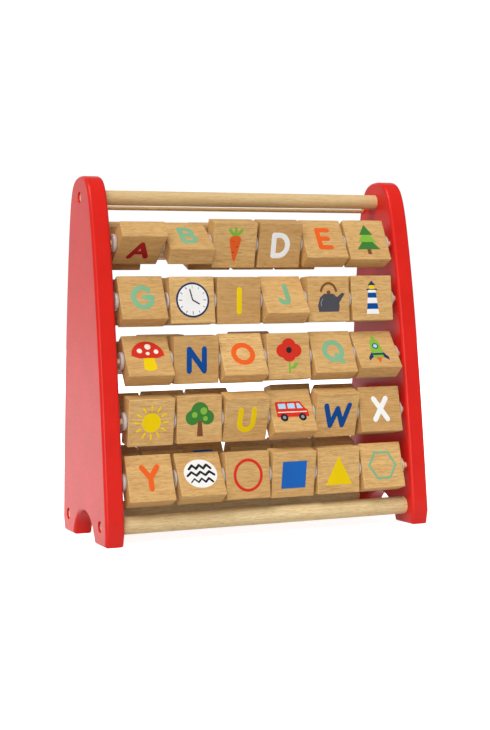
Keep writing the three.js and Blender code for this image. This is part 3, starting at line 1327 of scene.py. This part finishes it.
class Side(Enum):
    """The two printed faces of a tile, by the way they look in the tile's own frame."""

    NEAR = -1
    FAR = 1

    def matrix(self, thickness: float, inward: "Side") -> Matrix:
        """Gives the matrix from print across, up and out to the tile's frame.

        Args:
            thickness: The tile's thickness.
            inward: The face that looks inward, whose print reads upright after half a spin.

        Returns:
            The matrix.
        """
        way = self.value
        up = -1 if self is inward else 1
        return Matrix(((-way * up, 0, 0, 0), (0, 0, way, way * thickness / 2), (0, up, 0, 0), (0, 0, 0, 1)))


@dataclass
class Printer:
    """Lays ink on tile faces as thin raised shapes."""

    first_height: float = 0.1
    layer_step: float = 0.02
    sink: float = 0.1
    round_steps: int = 10
    cap_angles: tuple[int, ...] = (30, 60, 84)
    crease: float = 60.0

    def build(self, name: str, shapes: Sequence[Stroke | Patch], place: Matrix) -> Object:
        """Builds one print as one object with a material for each ink.

        Args:
            name: The object's name.
            shapes: What is drawn, the lowest first.
            place: The matrix from the print's frame to the object's, in millimetres.

        Returns:
            The print.
        """
        bm = bmesh.new()
        inks: list[Ink] = []
        for layer, shape in enumerate(shapes):
            if shape.ink not in inks:
                inks.append(shape.ink)
            height = self.first_height + layer * self.layer_step
            before = set(bm.faces)
            if isinstance(shape, Stroke):
                self.draw_stroke(bm, shape, height)
            else:
                self.draw_patch(bm, shape, height)
            for face in set(bm.faces) - before:
                face.material_index = inks.index(shape.ink)
        bmesh.ops.recalc_face_normals(bm, faces=bm.faces)
        bmesh.ops.transform(bm, matrix=place, verts=bm.verts)
        return finish_object(name, bm, [ink.material() for ink in inks], self.crease)

    def draw_patch(self, bm: BMesh, patch: Patch, height: float) -> None:
        """Raises a filled area.

        Args:
            bm: The mesh that it goes into.
            patch: The area.
            height: How far it stands out of the face.
        """
        face = bm.faces.new([bm.verts.new((u, v, -self.sink)) for u, v in patch.corners])
        raise_faces(bm, [face], (0, 0, self.sink + height))

    def draw_stroke(self, bm: BMesh, line: Stroke, height: float) -> None:
        """Sweeps a flat rounded bead of ink along a path.

        Args:
            bm: The mesh that it goes into.
            line: The stroke.
            height: How far it stands out of the face.
        """
        radius = line.width / 2
        path = [Vector(point) for point in line.path]
        count = len(path)
        stations: list[tuple[Vector, Vector, float]] = []
        for index, point in enumerate(path):
            behind = path[index - 1] if index or line.closed else point
            ahead = path[(index + 1) % count] if index + 1 < count or line.closed else point
            stations.append((point, (ahead - behind).normalized(), 1.0))
        if not line.closed:
            first, last = stations[0], stations[-1]
            caps = [(math.sin(math.radians(a)), math.cos(math.radians(a))) for a in self.cap_angles]
            start = [(first[0] - first[1] * radius * out, first[1], size) for out, size in reversed(caps)]
            end = [(last[0] + last[1] * radius * out, last[1], size) for out, size in caps]
            stations = start + stations + end
        loops = [
            self.station_loop(bm, point, along, radius * size, height * size)
            for point, along, size in stations
        ]
        pairs = list(zip(loops, loops[1:]))
        if line.closed:
            pairs.append((loops[-1], loops[0]))
        for one, other in pairs:
            bmesh.ops.bridge_loops(bm, edges=one + other)
        if not line.closed:
            for loop in (loops[0], loops[-1]):
                bmesh.ops.edgeloop_fill(bm, edges=loop)

    def station_loop(
        self, bm: BMesh, point: Vector, along: Vector, radius: float, height: float
    ) -> list[BMEdge]:
        """Makes one flat loop across a stroke.

        Args:
            bm: The mesh that it goes into.
            point: Where the loop is on the face.
            along: The stroke's direction there.
            radius: Half the stroke's width.
            height: How far the stroke stands out of the face.

        Returns:
            The loop's edges.
        """
        across = Vector((-along.y, along.x))
        place = Matrix(
            (
                (across.x * radius, 0, along.x, point.x),
                (across.y * radius, 0, along.y, point.y),
                (0, height, 0, 0),
                (0, 0, 0, 1),
            )
        )
        made = bmesh.ops.create_circle(bm, cap_ends=False, segments=self.round_steps, radius=1.0)
        bmesh.ops.transform(bm, matrix=place, verts=made["verts"])
        return list({edge for vert in made["verts"] for edge in vert.link_edges})


@dataclass
class TileRows:
    """The front and rear rows of turning tiles with their prints."""

    layout: Layout
    printer: Printer = field(default_factory=Printer)
    height: float = 39.0
    thickness: float = 15.6
    bore_diameter: float = 5.4
    facets: int = 16
    sharp_angle: float = 1.0
    edge_round: float = 0.8
    edge_steps: int = 3
    crease: float = 60.0
    grain_step: tuple[float, float, float] = (0.37, 0.113, 0.071)
    rear_seed: int = 50
    # Rear tiles get one of ten tones, all kept pale: the tone differs at random, and the pale range is
    # painted light on the shaded rear rows.
    rear_tone_stride: int = 7
    rear_tone_count: int = 10
    rear_tone_parts: int = 60
    rear_shape_shift: int = 3
    number_scale: float = 0.82
    inner_scales: tuple[float, ...] = (0.6, 0.6, 0.6, 0.6, 0.86)
    front_leans: tuple[tuple[float, ...], ...] = (
        (-56, 52, -15, -15, 31, 26),
        (25, 5, -3, 36, 2, 5),
        (34, -3, 28, 6, 27, 37),
        (-11, -2, -20, 28, -17, 12),
        (22, 31, 4, -11, -1, 16),
    )
    rear_leans: tuple[tuple[float, ...], ...] = (
        (22, 78, 22, 18, 24, 74),
        (4, 22, 50, 3, 46, 60),
        (66, 2, 72, 22, 58, 68),
        (50, 44, 40, 78, -12, 42),
        (24, 20, -31, 22, 14, 26),
    )
    front_tones: tuple[tuple[float, ...], ...] = (
        (0.5, 0.5, 0.3, 0.9, 0.5, 0.3),
        (0.6, 0.1, 0.9, 0.2, 0.4, 0.3),
        (0.5, 0.9, 0.0, 0.3, 0.3, 0.4),
        (0.1, 0.3, 0.1, 0.3, 0.1, 0.8),
        (0.3, 0.4, 0.5, 0.0, 0.1, 0.1),
    )

    def block(self) -> BMesh:
        """Builds one bored tile with rounded edges about the origin.

        Returns:
            The tile's shape.
        """
        width = self.layout.tile_width
        bore = self.bore_diameter
        bm = bmesh.new()
        bmesh.ops.create_circle(bm, cap_ends=False, segments=self.facets, radius=bore / 2)
        rim = bmesh.ops.create_circle(bm, cap_ends=False, segments=self.facets, radius=1.0)
        for vert in rim["verts"]:
            reach = max(abs(vert.co.x), abs(vert.co.y))
            vert.co.x *= self.thickness / 2 / reach
            vert.co.y *= self.height / 2 / reach
        bmesh.ops.bridge_loops(bm, edges=bm.edges)
        raise_faces(bm, bm.faces, (0, 0, width))
        bmesh.ops.translate(bm, vec=(0, 0, -width / 2), verts=bm.verts)
        bmesh.ops.recalc_face_normals(bm, faces=bm.faces)
        sharp = [edge for edge in bm.edges if edge.calc_face_angle(0.0) > self.sharp_angle]
        outer = [edge for edge in sharp if all(vert.co.xy.length > bore for vert in edge.verts)]
        round_edges(bm, outer, self.edge_round, self.edge_steps)
        turn = Matrix(((0, 0, 1, 0), (1, 0, 0, 0), (0, 1, 0, 0), (0, 0, 0, 1)))
        bmesh.ops.transform(bm, matrix=turn, verts=bm.verts)
        return bm

    def build(self) -> None:
        """Builds every tile and its prints."""
        for row in range(self.layout.row_count):
            for column in range(self.layout.tiles_per_row):
                self.build_front(row, column)
                self.build_rear(row, column)

    def placed(self, row: int, column: int, rear: bool, turn: float) -> Matrix:
        """Gives the matrix from a tile's frame to the object's, turned about its axle by degrees."""
        centre = self.layout.tile_centre(row, column, rear)
        return Matrix.Translation(centre) @ Matrix.Rotation(math.radians(turn), 4, "X")

    def build_wood(self, name: str, body: str, place: Matrix, seed: int, tone: float) -> None:
        """Builds one tile's wood.

        Args:
            name: The tile's name.
            body: The body that it moves with, which is also its CAD node.
            place: The matrix from the tile's frame to the object's, in millimetres.
            seed: A number that picks the stretch of grain.
            tone: How dark the wood is drawn, from 0 to 1; for rear tiles this also paints light on the
                shaded rows.
        """
        bm = self.block()
        bmesh.ops.transform(bm, matrix=place, verts=bm.verts)
        tile = finish_object(name + "_wood", bm, [TILE_WOOD.material()], self.crease)
        along, across, deep = (step * seed for step in self.grain_step)
        pick_grain(tile, Vector((along, across % 1.0, deep % 1.0)), tone)
        even_normals(tile)
        keep(tile, body, body)

    def lay_prints(
        self, name: str, body: str, place: Matrix, faces: Sequence[Shapes], inward: Side, inner_scale: float
    ) -> None:
        """Prints both faces of one tile.

        Args:
            name: The tile's name.
            body: The body that it moves with.
            place: The matrix from the tile's frame to the object's, in millimetres.
            faces: What is drawn on the near and on the far face.
            inward: The face that looks inward.
            inner_scale: The size of the inward print against the outward one.
        """
        for side, shapes in zip(Side, faces):
            size = inner_scale if side is inward else 1.0
            facing = side.matrix(self.thickness, inward)
            matrix = place @ facing @ Matrix.Diagonal((size, size, 1, 1))
            made = self.printer.build(f"{name}_print_{side.name.lower()}", shapes, matrix)
            keep(made, body)

    def front_faces(self, row: int, column: int) -> list[Shapes]:
        """Chooses a front tile's prints: a letter or picture, with a plain shape or letter behind it.

        Args:
            row: The row, from 0 at the top.
            column: The column, from 0 at the left.

        Returns:
            What is drawn on the near and on the far face.
        """
        place = row * self.layout.tiles_per_row + column
        shape = PLAIN_SHAPES[(row + column) % len(PLAIN_SHAPES)]()
        if place >= len(ascii_uppercase):
            return [PLAIN_SHAPES[place - len(ascii_uppercase)](), shape]
        name = ascii_uppercase[place]
        letter = sign(name, LETTER_INKS[name])
        return [PICTURES[name](), letter] if name in PICTURES else [letter, shape]

    def rear_faces(self, row: int, column: int) -> list[Shapes]:
        """Chooses a rear tile's prints: a plain shape, with a number on the outward face.

        Args:
            row: The row, from 0 at the top.
            column: The column, from 0 at the left of the front.

        Returns:
            What is drawn on the near and on the far face.
        """
        shape = PLAIN_SHAPES[(row + column + self.rear_shape_shift) % len(PLAIN_SHAPES)]()
        number = (row + 1) * self.layout.tiles_per_row - column
        ink = NUMBER_INKS[(number + row) % len(NUMBER_INKS)]
        text = str(number)
        return [shape, sign(text, ink, self.number_scale if len(text) > 1 else 1.0)]

    def build_front(self, row: int, column: int) -> None:
        """Builds one front tile with its letter and picture.

        Args:
            row: The row, from 0 at the top.
            column: The column, from 0 at the left.
        """
        node = f"tile_r{row + 1}_c{column + 1}"
        place = self.placed(row, column, False, -self.front_leans[row][column])
        seed = row * self.layout.tiles_per_row + column
        self.build_wood(node, node, place, seed, self.front_tones[row][column])
        self.lay_prints(node, node, place, self.front_faces(row, column), Side.FAR, 1.0)

    def build_rear(self, row: int, column: int) -> None:
        """Builds one rear tile with its number.

        Args:
            row: The row, from 0 at the top.
            column: The column, from 0 at the left of the front.
        """
        body = f"rear_tiles_{row + 1}"
        name = f"rear_tile_r{row + 1}_c{column + 1}"
        place = self.placed(row, column, True, self.rear_leans[row][column])
        seed = self.rear_seed + row * self.layout.tiles_per_row + column
        # A pale tone: partly random, partly painted light on the shaded rear row.
        tone = seed * self.rear_tone_stride % self.rear_tone_count / self.rear_tone_parts
        self.build_wood(name, body, place, seed, tone)
        self.lay_prints(name, body, place, self.rear_faces(row, column), Side.NEAR, self.inner_scales[row])


def keep(piece: Object, body: str, node: str = "") -> None:
    """Fastens a finished piece to its body and reports it.

    Args:
        piece: The finished piece.
        body: The body that it moves with.
        node: The CAD node that it stands for, if any.
    """
    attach(piece, body)
    if node:
        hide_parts(node)
    log.info("%s rides on %s, %d faces", piece.name, body, len(piece.data.polygons))


@dataclass
class Studio:
    """The camera, the pale floor and the soft light, in metres and degrees."""

    camera_place: tuple[float, float, float] = (-0.49597, -1.18083, 0.18744)
    yaw: float = 22.87
    pitch: float = -0.773
    roll: float = -0.843
    focal_pixels: float = 1479.7
    middle_row: float = 289.4
    sensor_width: float = 36.0
    floor_size: float = 12.0
    floor_rough: float = 0.9
    floor_gloss: float = 0.1
    floor_white: float = 0.95
    floor_bounce: float = 0.56
    floor_glow: float = 0.85
    sky_near: float = 0.25
    sky_far: float = 0.85
    far_side: tuple[float, float, float] = (0.55, 0.83, 0.0)
    far_range: tuple[float, float] = (-0.2, 0.5)
    sky_white: float = 1.05
    front_dark: float = 0.15
    mirror_range: tuple[float, float] = (0.4, 1.0)
    key_power: float = 2.3
    key_spread: float = 34.0
    key_from: tuple[float, float, float] = (-0.46, -0.42, 0.79)
    fill_power: float = 1.02
    fill_spread: float = 14.0
    fill_from: tuple[float, float, float] = (-0.36, -0.92, 0.12)

    def build(self) -> None:
        """Builds the camera, the floor and the lights."""
        self.build_camera()
        self.build_floor()
        self.build_lights()

    def build_camera(self) -> None:
        """Places the camera at the viewing angle."""
        yaw, pitch, roll = (math.radians(a) for a in (self.yaw, self.pitch, self.roll))
        ahead = Vector((math.sin(yaw) * math.cos(pitch), math.cos(yaw) * math.cos(pitch), -math.sin(pitch)))
        level = Vector((math.cos(yaw), -math.sin(yaw), 0))
        upward = level.cross(ahead)
        right = level * math.cos(roll) + upward * math.sin(roll)
        up = upward * math.cos(roll) - level * math.sin(roll)
        data = bpy.data.cameras.new("view")
        data.sensor_width = self.sensor_width
        data.lens = self.focal_pixels * self.sensor_width / IMAGE_HEIGHT
        data.shift_y = (self.middle_row - IMAGE_HEIGHT / 2) / IMAGE_HEIGHT
        camera = bpy.data.objects.new("view", data)
        turn = Matrix((right, up, -ahead)).transposed().to_4x4()
        camera.matrix_world = Matrix.Translation(self.camera_place) @ turn
        bpy.context.scene.collection.objects.link(camera)
        bpy.context.scene.camera = camera

    def seen_share(self, bench: NodeBench) -> NodeSocket:
        """Gives 1 for what is seen directly or mirrored, and 0 for light that bounces.

        Args:
            bench: The node tree that needs it.

        Returns:
            The socket with the share.
        """
        light_path = bench.add("ShaderNodeLightPath")
        either = bench.add("ShaderNodeMath", operation="MAXIMUM")
        bench.link(light_path.outputs["Is Camera Ray"], either.inputs[0])
        bench.link(light_path.outputs["Is Glossy Ray"], either.inputs[1])
        return either.outputs[0]

    def build_floor(self) -> None:
        """Lays a plain pale floor under the feet."""
        bm = bmesh.new()
        bmesh.ops.create_grid(bm, x_segments=1, y_segments=1, size=self.floor_size / 2 / MM)
        material = bpy.data.materials.new("pale_floor")
        material.use_nodes = True
        bench = NodeBench(material.node_tree)
        shader = material.node_tree.nodes["Principled BSDF"]
        seen = self.seen_share(bench)
        tint = bench.ranged(seen, 0.0, 1.0, self.floor_bounce, self.floor_white)
        glow = bench.ranged(seen, 0.0, 1.0, 0.0, self.floor_glow)
        bench.link(tint, shader.inputs["Base Color"])
        bench.link(glow, shader.inputs["Emission Strength"])
        shader.inputs["Emission Color"].default_value = WHITE
        shader.inputs["Roughness"].default_value = self.floor_rough
        shader.inputs["Specular IOR Level"].default_value = self.floor_gloss
        floor = finish_object("floor", bm, [material])

    def build_lights(self) -> None:
        """Adds a white sky, a key light from above and a fill light from the front."""
        world = bpy.data.worlds.new("studio")
        world.use_nodes = True
        bench = NodeBench(world.node_tree)
        background = world.node_tree.nodes["Background"]
        background.inputs["Color"].default_value = WHITE
        light_path = bench.add("ShaderNodeLightPath")
        direction = bench.add("ShaderNodeTexCoord")
        axes = bench.add("ShaderNodeSeparateXYZ")
        bench.link(direction.outputs["Generated"], axes.inputs[0])
        mirrored = bench.ranged(axes.outputs["Y"], *self.mirror_range, self.front_dark, self.sky_white)
        depth = bench.add("ShaderNodeVectorMath", operation="DOT_PRODUCT")
        bench.link(direction.outputs["Generated"], depth.inputs[0])
        depth.inputs[1].default_value = self.far_side
        fill = bench.ranged(depth.outputs["Value"], *self.far_range, self.sky_near, self.sky_far)
        unseen = bench.ranged(light_path.outputs["Is Glossy Ray"], 0.0, 1.0, fill, mirrored)
        strength = bench.ranged(light_path.outputs["Is Camera Ray"], 0.0, 1.0, unseen, self.sky_white)
        bench.link(strength, background.inputs["Strength"])
        bpy.context.scene.world = world
        bpy.context.scene.view_settings.view_transform = "Standard"
        self.build_sun("key", self.key_power, self.key_spread, Vector(self.key_from))
        self.build_sun("fill", self.fill_power, self.fill_spread, Vector(self.fill_from))

    def build_sun(self, name: str, power: float, spread: float, source: Vector) -> None:
        """Adds one wide light.

        Args:
            name: The light's name.
            power: How strong it is.
            spread: How wide it looks, in degrees.
            source: The direction that it comes from.
        """
        data = bpy.data.lights.new(name, "SUN")
        data.energy = power
        data.angle = math.radians(spread)
        sun = bpy.data.objects.new(name, data)
        sun.rotation_euler = (-source).to_track_quat("-Z", "Y").to_euler()
        bpy.context.scene.collection.objects.link(sun)


def main() -> None:
    """Builds the studio and every sub-assembly in order."""
    logging.basicConfig(level=logging.INFO)
    layout = Layout()
    Studio().build()
    SidePanels(layout).build()
    Rails().build()
    Axles(layout).build()
    TileRows(layout).build()


if __name__ == "__main__":
    main()
